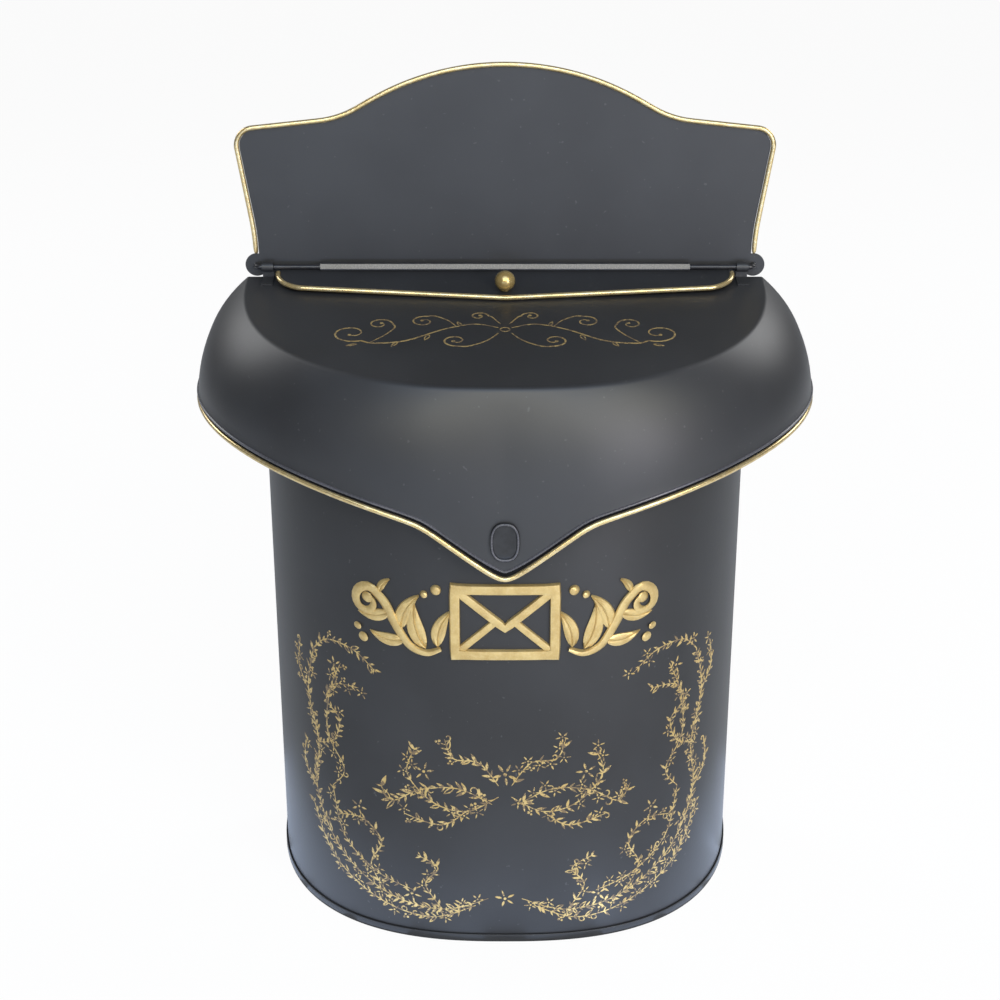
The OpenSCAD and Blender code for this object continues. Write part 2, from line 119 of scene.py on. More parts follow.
def rim_frame(turn):
    """Outward and upward directions beside the bead."""
    before, after = turns_beside(turn)
    along = rim_wire(after) - rim_wire(before)
    out = Vector((-along.y, along.x, 0)).normalized()
    return out, along.cross(out).normalized()


class SkirtLine:
    """One line down the lid's flared skirt, from the fold to the lower edge."""

    def __init__(self, turn):
        x, y = d_point(FOLD_HALF, FOLD_DEEP, FOLD_SQUARE, LID_BACK, turn)
        self.top = Vector((x, y, top_up(y)))
        self.wire = rim_wire(turn)
        self.out, self.up = rim_frame(turn)
        self.low = self.wire + (WIRE_R + SEAT) * self.up + SHEET / 2 * self.out
        fall = self.low - self.top
        self.mid = self.top + Vector((BULGE_OUT * fall.x, BULGE_OUT * fall.y, BULGE_DOWN * fall.z))

    def at(self, t):
        return (1 - t) ** 2 * self.top + 2 * t * (1 - t) * self.mid + t * t * self.low

    def down(self, t):
        return (2 * (1 - t) * (self.mid - self.top) + 2 * t * (self.low - self.mid)).normalized()


class TubFront:
    """Places on the tub's wall by the distance round it from the middle of its front."""

    # The wall is followed from the middle of its front over this many degrees, in this many steps.
    REACH, STEPS = 88, 1600

    def __init__(self):
        self.far, self.spots = [0.0], []
        for k in range(self.STEPS + 1):
            turn = math.radians(90 - self.REACH * k / self.STEPS)
            x, y = d_point(TUB_HALF, TUB_DEEP, TUB_SQUARE, -SHEET, turn)
            self.spots.append(Vector((x, y, 0)))
            if k:
                self.far.append(self.far[-1] + (self.spots[k] - self.spots[k - 1]).length)

    def __call__(self, u, z, height):
        side = math.copysign(1, u)
        k = min(max(bisect.bisect(self.far, abs(u)), 1), len(self.far) - 1)
        start, end = self.spots[k - 1], self.spots[k]
        share = (abs(u) - self.far[k - 1]) / (self.far[k] - self.far[k - 1])
        spot = start + (end - start) * share
        along = (end - start).normalized()
        return Vector((side * (spot.x - along.y * height), spot.y - along.x * height, z))


def on_lid_top(u, y, height):
    """A place on the lid's flat top."""
    return Vector((u, y, top_up(y))) + TOP_OUT * height


# Hand tools

def need(done, fault):
    """Stops the script where a step hasn't done its work."""
    if not done:
        raise RuntimeError(fault)


def pick(piece=None):
    """Selects one piece alone and makes it the active one, or selects nothing."""
    if bpy.context.mode != "OBJECT":
        bpy.ops.object.mode_set(mode="OBJECT")
    bpy.ops.object.select_all(action="DESELECT")
    if piece:
        piece.select_set(True)
        bpy.context.view_layer.objects.active = piece


def start_edit(piece):
    """Goes into edit mode on one piece, with all of it selected."""
    pick(piece)
    bpy.ops.object.mode_set(mode="EDIT")
    bpy.ops.mesh.select_all(action="SELECT")


def end_edit():
    bpy.ops.object.mode_set(mode="OBJECT")


def new_piece(name, mesh):
    mesh.name = name
    piece = bpy.data.objects.new(name, mesh)
    bpy.context.scene.collection.objects.link(piece)
    return piece


def new_primitive(name, add, **settings):
    """Adds a primitive with nothing else selected, and names it."""
    pick()
    add(**settings)
    piece = bpy.context.object
    piece.name = piece.data.name = name
    return piece


def cad_copy(node, name, merge=True):
    """A copy of a CAD node with its loose triangles joined into clean faces."""
    piece = new_piece(name, NODES[node].data.copy())
    pick(piece)
    if piece.data.has_custom_normals:
        bpy.ops.mesh.customdata_custom_splitnormals_clear()
    start_edit(piece)
    bpy.ops.mesh.remove_doubles(threshold=2e-6)
    if merge:
        bpy.ops.mesh.dissolve_limited(angle_limit=math.radians(0.1))
    end_edit()
    return piece


def sharp(edge, degrees=60):
    return edge.calc_face_angle(0) > math.radians(degrees)


def round_edges(piece, radius, steps, wanted):
    """Bevels the edges of a piece for which wanted(edge) holds."""
    start_edit(piece)
    bpy.ops.mesh.select_mode(type="EDGE")
    bpy.ops.mesh.select_all(action="DESELECT")
    mesh = bmesh.from_edit_mesh(piece.data)
    edges = [edge for edge in mesh.edges if len(edge.link_faces) == 2 and wanted(edge)]
    need(edges, f"{piece.name} has no edge to round")
    for edge in edges:
        edge.select_set(True)
    bmesh.update_edit_mesh(piece.data)
    bpy.ops.mesh.bevel(offset=radius, segments=steps, profile=0.5, affect="EDGES")
    end_edit()


def smooth(piece, degrees=35):
    pick(piece)
    bpy.ops.object.shade_smooth_by_angle(angle=math.radians(degrees))


def apply_modifier(piece, kind, **settings):
    pick(piece)
    bpy.ops.object.modifier_add(type=kind)
    modifier = piece.modifiers[-1]
    for name, value in settings.items():
        setattr(modifier, name, value)
    done = bpy.ops.object.modifier_apply(modifier=modifier.name)
    need(done == {"FINISHED"}, f"{piece.name} didn't take its {kind} modifier")


def settle(piece, **place):
    """Places a piece, and puts its place, turn and scale into its mesh."""
    for name, value in place.items():
        setattr(piece, name, value)
    pick(piece)
    bpy.ops.object.transform_apply(location=True, rotation=True, scale=True)


def turn_outwards(piece):
    """Joins a piece's doubled corners and turns its faces outwards."""
    start_edit(piece)
    bpy.ops.mesh.remove_doubles(threshold=1e-7)
    bpy.ops.mesh.normals_make_consistent(inside=False)
    end_edit()


def finish_piece(piece, body, slot, node, *paints):
    """Gives a piece its paints and the body it rides on, and hides the CAD node it stands for. The
    slot argument is not used.
    """
    shades = [face.material_index for face in piece.data.polygons]
    piece.data.materials.clear()
    for name in paints:
        piece.data.materials.append(painted(name))
    piece.data.polygons.foreach_set("material_index", shades)
    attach(piece, body)
    if node:
        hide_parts(node)


# Paints

def sums(operation):
    """An operator on flows and its reflected form."""
    def add_node(flow, first, second):
        values = {0: first, 1: second}
        return flow.paint.node("ShaderNodeMath", {"operation": operation}, values)["Value"]
    return (lambda flow, other: add_node(flow, flow, other),
            lambda flow, other: add_node(flow, other, flow))


class Flow:
    """An output of a shader node. Sums on it add Math nodes."""

    __add__, __radd__ = sums("ADD")
    __sub__, __rsub__ = sums("SUBTRACT")
    __mul__, __rmul__ = sums("MULTIPLY")

    def __init__(self, paint, socket):
        self.paint, self.socket = paint, socket

    def clear_of(self, low, high):
        """0 below low, 1 above high and a soft step between."""
        settings = {"interpolation_type": "SMOOTHSTEP"}
        values = {"Value": self, "From Min": low, "From Max": high}
        return self.paint.node("ShaderNodeMapRange", settings, values)["Result"]


class Outputs:
    """The outputs of one added node, by name."""

    def __init__(self, paint, node):
        self.paint, self.node = paint, node

    def __getitem__(self, name):
        return Flow(self.paint, self.node.outputs[name])


class Paint:
    """The nodes of a material, or of a world."""

    # A Mix node's sockets for colours go by number, because others share their names.
    MIX_SHARE, MIX_FIRST, MIX_SECOND, MIX_RESULT = 0, 6, 7, 2

    def __init__(self, name, kind="materials"):
        self.made = getattr(bpy.data, kind).new(name)
        self.made.use_nodes = True
        self.tree = self.made.node_tree
        self.tree.nodes.clear()

    @functools.cached_property
    def place(self):
        return self.node("ShaderNodeTexCoord")["Object"]

    def node(self, kind, settings=None, values=None):
        """Adds a node, makes its settings and then fills or links its inputs."""
        node = self.tree.nodes.new(kind)
        for name, value in (settings or {}).items():
            setattr(node, name, value)
        for name, value in (values or {}).items():
            if isinstance(value, Flow):
                self.tree.links.new(value.socket, node.inputs[name])
            else:
                node.inputs[name].default_value = value
        return Outputs(self, node)

    def noise(self, size, detail, roughness=0.5, stretch=(1, 1, 1), offset=0.0):
        """Noise whose spots are about the given size in metres."""
        values = {"Vector": self.place, "Scale": stretch, "Location": (offset,) * 3}
        place = self.node("ShaderNodeMapping", None, values)["Vector"]
        values = {"Vector": place, "Scale": 1 / size, "Detail": detail, "Roughness": roughness}
        return self.node("ShaderNodeTexNoise", None, values)["Fac"]

    def blend(self, share, *colours):
        """Colour from the first to the second by share. Each is a flow or one of the colours."""
        pots = bpy.context.scene.mailbox_colours
        first, second = (
            c if isinstance(c, Flow) else (*getattr(pots, c), 1) for c in colours)
        values = {self.MIX_SHARE: share, self.MIX_FIRST: first, self.MIX_SECOND: second}
        return self.node("ShaderNodeMix", {"data_type": "RGBA"}, values)[self.MIX_RESULT]

    def bump(self, height, depth, strength):
        values = {"Height": height, "Distance": depth, "Strength": strength}
        return self.node("ShaderNodeBump", None, values)["Normal"]

    def shade(self, **values):
        """Adds the surface shader. Underscores stand for blanks in its inputs' names."""
        named = {name.replace("_", " "): value for name, value in values.items()}
        shader = self.node("ShaderNodeBsdfPrincipled", None, named)["BSDF"]
        self.node("ShaderNodeOutputMaterial", None, {"Surface": shader})
        return self.made

    def white_when_seen(self, share, soft, white, output):
        """Shows the camera white by share, and soft to all else."""
        seen = self.node("ShaderNodeLightPath")["Is Camera Ray"] * share
        mixed = self.node("ShaderNodeMixShader", None, {0: seen, 1: soft, 2: white})["Shader"]
        self.node(output, None, {"Surface": mixed})
        return self.made


def black_paint(name, shine=0.5):
    """Satin black stove enamel with a very fine orange peel and a little dust."""
    paint = Paint(name)
    clouds = paint.noise(0.055, detail=3)
    grain = paint.noise(0.0011, detail=2, offset=0.3)
    dust = paint.noise(0.0022, detail=1, roughness=0.4, offset=0.7).clear_of(0.74, 0.80)
    black = clouds.clear_of(0.3, 0.7)
    colour = paint.blend(black, "black_deep", "black_light")
    peel = paint.noise(0.0016, detail=1, offset=0.1) * 0.7 + grain * 0.3
    return paint.shade(
        Base_Color=paint.blend(dust * 0.35, colour, "dust"),
        Roughness=0.40 + 0.05 * clouds + 0.03 * grain + 0.1 * dust,
        Specular_IOR_Level=shine,
        Normal=paint.bump(peel, depth=0.00004, strength=0.6),
    )


def groove_shade_paint():
    """Painted shade: a near-black, rough, barely reflective paint in the groove between the lid's
    lip and bead, standing in for the groove's shadow.
    """
    paint = Paint("groove_shadow")
    groove_shade_mottle = paint.noise(0.002, detail=2)
    return paint.shade(
        Base_Color=paint.blend(groove_shade_mottle, "groove", "black_deep"),
        Roughness=0.85 + 0.1 * groove_shade_mottle,
        Specular_IOR_Level=0.08,
    )


def highlight_edge_paint():
    """Painted highlight: a paler, glossier black on the lid's lip, the knuckle's flat and the
    finger plate's border, standing in for the light these edges catch.
    """
    paint = Paint("highlight_edge_enamel")
    # The pale share varies in soft patches; here all of it is painted highlight.
    rub_and_highlight = 0.6 + 0.4 * paint.noise(0.03, detail=2).clear_of(0.35, 0.65)
    fine = paint.noise(0.0008, detail=2, offset=0.3)
    return paint.shade(
        Base_Color=paint.blend(rub_and_highlight, "black_light", "edge"),
        Roughness=0.22 + 0.10 * fine,
        Normal=paint.bump(fine, depth=0.00002, strength=0.4),
    )


def gloss_paint():
    """The same black, laid on wet and glossy."""
    paint = Paint("gloss_enamel")
    runs = paint.noise(0.004, detail=2).clear_of(0.3, 0.7)
    peel = paint.noise(0.0012, detail=1, offset=0.2)
    return paint.shade(
        Base_Color=paint.blend(runs, "black_deep", "black_light"),
        Roughness=0.16 + 0.06 * peel,
        Specular_IOR_Level=0.3,
        Normal=paint.bump(peel, depth=0.00002, strength=0.4),
    )


def gold_paint(name, stretch=(1, 1, 1), worn=0.0, gloss=0.34, metal=0.55, pale=0.3):
    """Hand-laid gold enamel with brush streaks. Worn gold lets the black through in spots."""
    paint = Paint(name)
    patches = paint.noise(0.006, detail=3, stretch=stretch)
    streaks = paint.noise(0.0009, detail=2, stretch=stretch, offset=0.4)
    deep = patches.clear_of(0.32, 0.68)
    colour = paint.blend(deep, "gold_deep", "gold_light")
    brushed = pale * (0.4 + 0.6 * streaks.clear_of(0.4, 0.7))
    colour = paint.blend(brushed, colour, "gold_pale")
    if worn:
        gaps = paint.noise(0.0021, detail=3, roughness=0.65, offset=0.9)
        gaps = gaps.clear_of(0.47, 0.56) * worn
        colour = paint.blend(gaps, colour, "gold_rubbed")
        metal = metal * (1 - gaps)
    return paint.shade(
        Base_Color=colour,
        Metallic=metal,
        Roughness=gloss + 0.12 * streaks,
        Normal=paint.bump(streaks * 0.6 + patches * 0.4, depth=0.00006, strength=0.5),
    )


def steel_wire():
    """Dark painted steel wire, rubbed a little brighter in places."""
    paint = Paint("dark_wire")
    rub_and_highlight = paint.noise(0.004, detail=3, stretch=(0.3, 1, 1)).clear_of(0.5, 0.75)
    fine = paint.noise(0.0006, detail=2, stretch=(0.1, 1, 1), offset=0.2)
    return paint.shade(
        Base_Color=paint.blend(rub_and_highlight * 0.5, "wire", "wire_rubbed"),
        Metallic=0.1 + 0.3 * rub_and_highlight,
        Roughness=0.26 + 0.12 * fine,
        Normal=paint.bump(fine, depth=0.00003, strength=0.5),
    )


PAINTS = {
    "black": lambda: black_paint("black_enamel"),
    # The tub's copy of the black reflects less: painted shade that darkens the tub's wall and
    # seam, standing in for the shade cast by the lid.
    "tub_black": lambda: black_paint("shaded_tub_enamel", shine=0.41),
    "gloss": gloss_paint,
    # The groove paint is painted shade.
    "groove": groove_shade_paint,
    # The edge paint is a painted highlight.
    "edge": highlight_edge_paint,
    "gold": lambda: gold_paint("gold_enamel", pale=0.22),
    "gold_bead": lambda: gold_paint(
        "gold_bead", stretch=(0.25, 0.6, 0.6), gloss=0.17, metal=0.75, pale=0.6),
    "gold_ball": lambda: gold_paint(
        "gold_ball", stretch=(0.5, 0.5, 0.5), gloss=0.19, metal=0.7, pale=0.15),
    "gold_print": lambda: gold_paint("gold_print", worn=0.95, pale=0.1),
    "wire": steel_wire,
}


@functools.cache
def painted(name):
    """The material of a paint, mixed at its first use."""
    return PAINTS[name]()


# Flat and raised ornament

def circle(u, v, radius, sides):
    """Corners of a circle round (u, v)."""
    turns = [math.tau * k / sides for k in range(sides)]
    return [(u + radius * math.cos(turn), v + radius * math.sin(turn)) for turn in turns]


class Ornament:
    """Strokes, leaves, rings and balls laid on a surface as thin closed shells.

    Sections are points of (how far across, how high), as shares of half the width and of the
    height. A point of no height goes down to the root, inside the surface.
    """

    FLAT = ((-1, 0), (-1, 1), (1, 1), (1, 0))
    ROUND = ((-1, 0), (-0.93, 0.45), (-0.6, 0.88), (0, 1), (0.6, 0.88), (0.93, 0.45), (1, 0))
    BOARD = (
        (-1, 0), (-1, 0.62), (-0.84, 0.94), (-0.62, 1),
        (0.62, 1), (0.84, 0.94), (1, 0.62), (1, 0),
    )
    VEINED = (
        (-1, 0), (-0.95, 0.5), (-0.5, 0.85), (-0.12, 0.7), (0, 1),
        (0.12, 0.7), (0.5, 0.85), (0.95, 0.5), (1, 0),
    )
    DOME, DOME_SIDES = ((1, 0.0), (0.97, 0.45), (0.78, 0.8), (0.42, 0.98)), 14

    def __init__(self, surface, height, root, section=FLAT):
        self.surface, self.height, self.root, self.section = surface, height, root, section
        self.points, self.faces = [], []

    def join(self, start, rings, size, closed=False):
        """Joins rings of points by faces, from the start, and closes both ends."""
        for i in range(rings if closed else rings - 1):
            a, b = start + i * size, start + (i + 1) % rings * size
            for k in range(size):
                n = (k + 1) % size
                self.faces.append((a + k, a + n, b + n, b + k))
        if not closed:
            self.faces.append(tuple(range(start + size - 1, start - 1, -1)))
            self.faces.append(tuple(range(start + (rings - 1) * size, start + rings * size)))

    def stroke(self, line, widths, closed=False, height=None, section=None):
        """A stroke along a line of (u, v), as wide as widths says at each point."""
        height = self.height if height is None else height
        section = section or self.section
        start, count = len(self.points), len(line)
        for i, (u, v) in enumerate(line):
            before = line[i - 1] if closed or i else line[0]
            after = line[(i + 1) % count] if closed or i < count - 1 else line[-1]
            du, dv = after[0] - before[0], after[1] - before[1]
            run = math.hypot(du, dv) or 1
            nu, nv = -dv / run, du / run
            half = widths[i] / 2
            for across, rise in section:
                level = rise * height if rise else -self.root
                spot = u + nu * half * across, v + nv * half * across
                self.points.append(self.surface(*spot, level))
        self.join(start, count, len(section), closed)

    def plate(self, outline):
        """A solid shape inside an outline of (u, v)."""
        start = len(self.points)
        for level in (-self.root, self.height):
            self.points += [self.surface(u, v, level) for u, v in outline]
        self.join(start, 2, len(outline))

    def ring(self, u, v, radius, width, sides=12):
        self.stroke(circle(u, v, radius, sides), [width] * sides, closed=True)

    def dot(self, u, v, radius, sides=8):
        self.plate(circle(u, v, radius, sides))

    def ball(self, u, v, radius):
        start = len(self.points)
        for share, rise in self.DOME:
            level = -self.root if rise == 0 else self.height * rise
            for x, z in circle(0, 0, 1, self.DOME_SIDES):
                spot = u + x * radius * share, v + z * radius * share
                self.points.append(self.surface(*spot, level))
        self.join(start, len(self.DOME), self.DOME_SIDES)

    def piece(self, name):
        mesh = bpy.data.meshes.new(name)
        mesh.from_pydata([placed(p) for p in self.points], [], self.faces)
        piece = new_piece(name, mesh)
        turn_outwards(piece)
        return piece


def turned(points, angle, u, v):
    """Points turned by an angle and moved to (u, v)."""
    c, s = math.cos(angle), math.sin(angle)
    return [(u + c * x - s * y, v + s * x + c * y) for x, y in points]


def curve_through(knots, per):
    """A smooth line that passes through every knot."""
    line = []
    for i in range(len(knots) - 1):
        p = [knots[max(0, i - 1)], knots[i], knots[i + 1], knots[min(len(knots) - 1, i + 2)]]
        for k in range(per):
            t = k / per
            line.append(tuple(
                0.5 * (2 * p[1][j] + (p[2][j] - p[0][j]) * t
                       + (2 * p[0][j] - 5 * p[1][j] + 4 * p[2][j] - p[3][j]) * t * t
                       + (3 * p[1][j] - p[0][j] - 3 * p[2][j] + p[3][j]) * t ** 3)
                for j in (0, 1)
            ))
    return line + [knots[-1]]


def between(start, end, steps):
    """Evenly spaced points from a start up to an end, without the end."""
    (u, v), (eu, ev) = start, end
    return [(u + (eu - u) * k / steps, v + (ev - v) * k / steps) for k in range(steps)]


def spiral(u, v, radius, turns, start, hand, inner, per_turn=20):
    """A spiral that winds in from its outer end at the start angle."""
    count = max(6, int(abs(turns) * per_turn))
    line = []
    for k in range(count + 1):
        share = k / count
        r = radius * (1 - share * (1 - inner))
        angle = start + hand * math.tau * turns * share
        line.append((u + r * math.cos(angle), v + r * math.sin(angle)))
    return line


def taper(count, wide, thin):
    """Widths that start and end thin and are widest near the middle."""
    swell = [abs(math.sin(math.pi * k / (count - 1))) ** 0.8 for k in range(count)]
    return [thin + (wide - thin) * share for share in swell]


def heading(line, i):
    """Direction of a line at its point i."""
    before, after = line[max(0, i - 1)], line[min(len(line) - 1, i + 1)]
    return math.atan2(after[1] - before[1], after[0] - before[0])


# Sizes and colours

def length(name, description, millimetres):
    return bpy.props.FloatProperty(
        name=name, description=description, default=millimetres * MM,
        subtype="DISTANCE", unit="LENGTH", precision=4,
    )


def colour(name, description, red, green, blue):
    return bpy.props.FloatVectorProperty(
        name=name, description=description, default=(red, green, blue),
        subtype="COLOR", size=3, min=0, max=1,
    )


class MailboxSizes(bpy.types.PropertyGroup):
    """Sizes of the details that are added round the frame."""

    fold_radius: length("Fold radius", "Radius of the fold round the lid's flat top", 2.2)
    lip_out: length("Lip", "How far the lip above the lid's bead stands out", 0.75)
    groove_in: length("Groove depth", "Depth of the groove between the lip and the bead", 1.2)
    groove_tall: length("Groove height", "Height of the groove between the lip and the bead", 1.35)
    tip_gap: length("Tip groove", "Extra height of the groove at the tip of the lid", 0.8)
    seam_round: length("Seam rounding", "Rounding of the seam round the bottom", 0.7)
    hem_round: length("Hem rounding", "Rounding of the folded hem round the tub's top", 0.35)
    relief_height: length("Relief height", "Height of the gold relief above the tub's wall", 2.2)
    print_height: length("Print height", "Thickness of the printed gold ornament", 0.08)


class MailboxColours(bpy.types.PropertyGroup):
    """Colours of the paints."""

    black_deep: colour("Black, deep", "Darker clouds of the black enamel", 0.0155, 0.016, 0.018)
    black_light: colour("Black, light", "Lighter clouds of the black enamel", 0.021, 0.022, 0.025)
    # The groove colour is painted shade, standing in for the shadow in the groove above the lid's
    # bead.
    groove: colour("Groove", "Bare dark metal above the lid's bead", 0.002, 0.002, 0.003)
    # The edge colour is a painted highlight, a paler black for the raised edges, not rubbed
    # enamel.
    edge: colour("Edge", "Black enamel rubbed pale along raised edges", 0.07, 0.07, 0.082)
    dust: colour("Dust", "Specks of dust on the black enamel", 0.10, 0.10, 0.105)
    gold_deep: colour("Gold, deep", "Darker patches of the gold enamel", 0.46, 0.315, 0.105)
    gold_light: colour("Gold, light", "Lighter patches of the gold enamel", 0.57, 0.42, 0.165)
    gold_pale: colour("Gold, pale", "Pale brush streaks in the gold enamel", 0.76, 0.66, 0.44)
    gold_rubbed: colour("Gold, rubbed", "Worn spots of the printed gold", 0.13, 0.09, 0.05)
    wire: colour("Wire", "Painted steel of the hinge wire", 0.014, 0.014, 0.017)
    wire_rubbed: colour("Wire, rubbed", "Rubbed places of the hinge wire", 0.10, 0.10, 0.11)


class PieceOperator(bpy.types.Operator):
    """Shared settings of the operators that make pieces."""

    bl_options = {"REGISTER", "UNDO"}

    @property
    def sizes(self):
        return bpy.context.scene.mailbox_sizes


# Operators

class MAILBOX_OT_stage(PieceOperator):
    """Adds the floor, the lamps, the surrounding light and the camera"""

    bl_idname = "mailbox.stage"
    bl_label = "Stage"

    # All of the stage is in metres, watts and shares of light.
    CAMERA = {"location": (0, -0.84819, 0.37761), "rotation": (math.radians(68), 0, 0)}
    LENS, SENSOR, SHIFT = 64.87, 36, -0.005
    FLOOR_WIDE, FLOOR_GAP = 24, 0.0004
    AIM = (0, -0.06, 0.08)
    SKY, FOOT_SKY = (0.36, 0.56, 1.0), (0.58, 0.72, 1.0)
    CARD_UP = -0.144

    # Each lamp's name, place, what it looks at, its width, height, power and tint.
    LAMPS = (
        ("high_lamp", (0, -1.25, 1.45), AIM, 1.5, 0.9, 15, (0.55, 0.72, 1.0)),
        ("front_lamp", (0, -1.95, 0.95), AIM, 1.7, 0.6, 23, (1.0, 0.97, 0.82)),
        ("right_lamp", (1.05, -1.6, 0.40), AIM, 0.5, 0.7, 13, (1.0, 0.95, 1.0)),
        ("right_high_lamp", (1.0, -1.3, 1.05), AIM, 0.6, 0.6, 8, (1.0, 0.96, 0.75)),
        ("back_left_lamp", (-1.3, 0.9, 1.0), AIM, 0.8, 0.8, 9, (1, 1, 1)),
        ("back_right_lamp", (1.3, 0.9, 1.0), AIM, 0.8, 0.8, 10.5, (1, 1, 1)),
        ("far_card", (0, -2.4, CARD_UP), (0, -2.4, 1), 3.0, 1.4, 50, SKY),
    )

    # Cards in a half ring on the floor, which glow up the foot of the tub: how many, how far they
    # stand out at the sides and the front, and their power at the sides and what the front adds.
    CARDS, RING_SIDE, RING_BACK, RING_FRONT = 13, 0.155, 0.02, 0.175
    CARD_WIDE, CARD_TALL, CARD_POWER, CARD_MORE = 0.06, 0.05, 0.0105, 0.0045

    def execute(self, context):
        context.scene.view_settings.view_transform = "Standard"
        self.camera(context.scene)
        self.floor()
        self.surroundings(context.scene)
        for lamp in self.LAMPS:
            self.lamp(*lamp)
        for k in range(self.CARDS):
            turn = math.pi * k / (self.CARDS - 1)
            x = self.RING_SIDE * math.cos(turn)
            y = self.RING_BACK - self.RING_FRONT * math.sin(turn)
            power = self.CARD_POWER + self.CARD_MORE * math.sin(turn)
            light = self.CARD_WIDE, self.CARD_TALL, power, self.FOOT_SKY
            self.lamp(f"foot_card_{k}", (x, y, self.CARD_UP), (x, y, 1), *light)
        return {"FINISHED"}

    def camera(self, scene):
        camera = new_primitive("photo_camera", bpy.ops.object.camera_add, **self.CAMERA)
        camera.data.lens, camera.data.sensor_width = self.LENS, self.SENSOR
        camera.data.shift_x = self.SHIFT
        scene.camera = camera

    def floor(self):
        down = -ORIGIN_UP * MM - self.FLOOR_GAP
        floor = new_primitive(
            "floor", bpy.ops.mesh.primitive_plane_add, size=self.FLOOR_WIDE, location=(0, 0, down))
        paint = Paint("floor_white")
        paper = paint.node("ShaderNodeBsdfDiffuse", None, {"Color": (0.86, 0.88, 0.92, 1)})
        white = paint.node("ShaderNodeEmission", None, {"Color": (1, 1, 1, 1), "Strength": 1.0})
        floor.data.materials.append(paint.white_when_seen(
            0.95, paper["BSDF"], white["Emission"], "ShaderNodeOutputMaterial"))

    def surroundings(self, scene):
        sky = Paint("studio", "worlds")
        soft, white = (
            sky.node("ShaderNodeBackground", None, {"Color": colour, "Strength": strength})
            for colour, strength in (((0.97, 0.98, 1.0, 1), 0.18), ((1, 1, 1, 1), 1.0))
        )
        scene.world = sky.white_when_seen(
            1.0, soft["Background"], white["Background"], "ShaderNodeOutputWorld")

    def lamp(self, name, place, target, wide, tall, power, tint):
        aim = Vector(target) - Vector(place)
        turn = aim.to_track_quat("-Z", "Y").to_euler()
        lamp = new_primitive(
            name, bpy.ops.object.light_add, type="AREA", location=place, rotation=turn)
        lamp.data.shape, lamp.data.size, lamp.data.size_y = "RECTANGLE", wide, tall
        lamp.data.energy, lamp.data.color = power, tint
        lamp.visible_camera = False


class MAILBOX_OT_tub(PieceOperator):
    """Makes the tub's wall with its hem, and the rolled seam round the bottom"""

    bl_idname = "mailbox.tub"
    bl_label = "Tub and seam"

    # In metres: edges this far up are the hem's, and the wall's back stays square.
    HEM_UP, WALL_BACK, SEAM_BACK = 0.1, -0.003, -0.001

    def execute(self, context):
        wall = cad_copy("tub_wall", "tub")
        round_edges(wall, self.sizes.hem_round, 3, lambda edge: (
            sharp(edge) and min(v.co.z for v in edge.verts) > self.HEM_UP
            and max(v.co.y for v in edge.verts) < self.WALL_BACK
        ))
        smooth(wall)
        finish_piece(wall, "box_body", "black_paint", "tub_wall", "tub_black")

        seam = cad_copy("bottom_plate", "tub_seam")
        round_edges(seam, self.sizes.seam_round / 2, 4, lambda edge: (
            sharp(edge) and max(v.co.y for v in edge.verts) < self.SEAM_BACK
        ))
        smooth(seam)
        finish_piece(seam, "box_body", "black_paint", "bottom_plate", "tub_black")
        NODES["back_plate"].data.materials.clear()
        NODES["back_plate"].data.materials.append(painted("black"))
        return {"FINISHED"}


